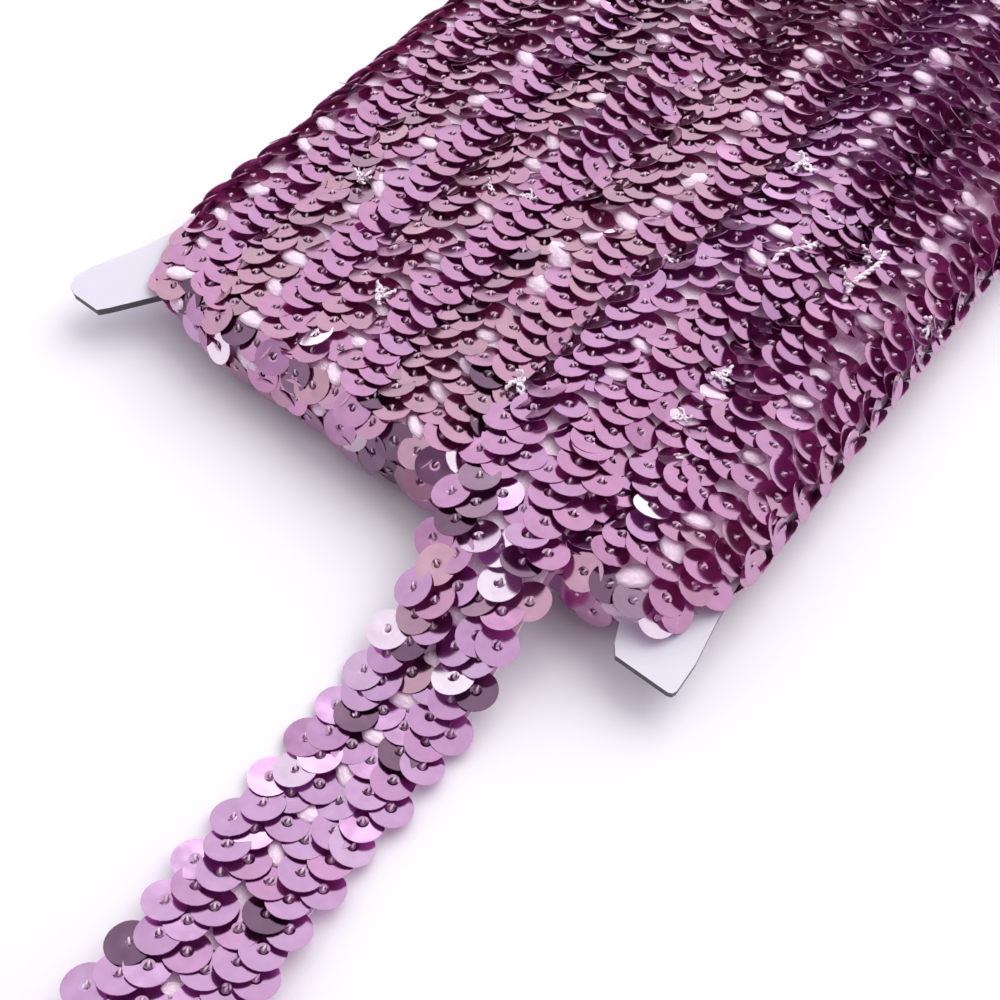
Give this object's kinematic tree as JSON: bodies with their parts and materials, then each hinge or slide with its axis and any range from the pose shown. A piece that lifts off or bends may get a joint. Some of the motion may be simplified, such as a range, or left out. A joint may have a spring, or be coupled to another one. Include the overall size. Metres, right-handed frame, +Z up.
{
  "type": "sequin trim on a winding card",
  "caption": "Length of sequin trim wound lengthwise round a notched white card, with its loose end dropping over the card's end onto the table.",
  "frame": {"origin": "on the surface that the part lies on, under the middle of its bounding box", "axes": "+Z up; +Y along the card, away from the loose end; +X across the card"},
  "size_m": [0.1256, 0.2978, 0.0142],
  "materials": {
    "board": "smooth white faces with grey fibrous cut edges",
    "sequins": "mauve pink metallic film, mirror glossy",
    "backing": "pale pink fine knit",
    "thread": "translucent pale pink thread"
  },
  "bodies": {
    "root": {"card": "board", "wound_trim": "sequins", "loose_end": "sequins"}
  },
  "joints": []
}
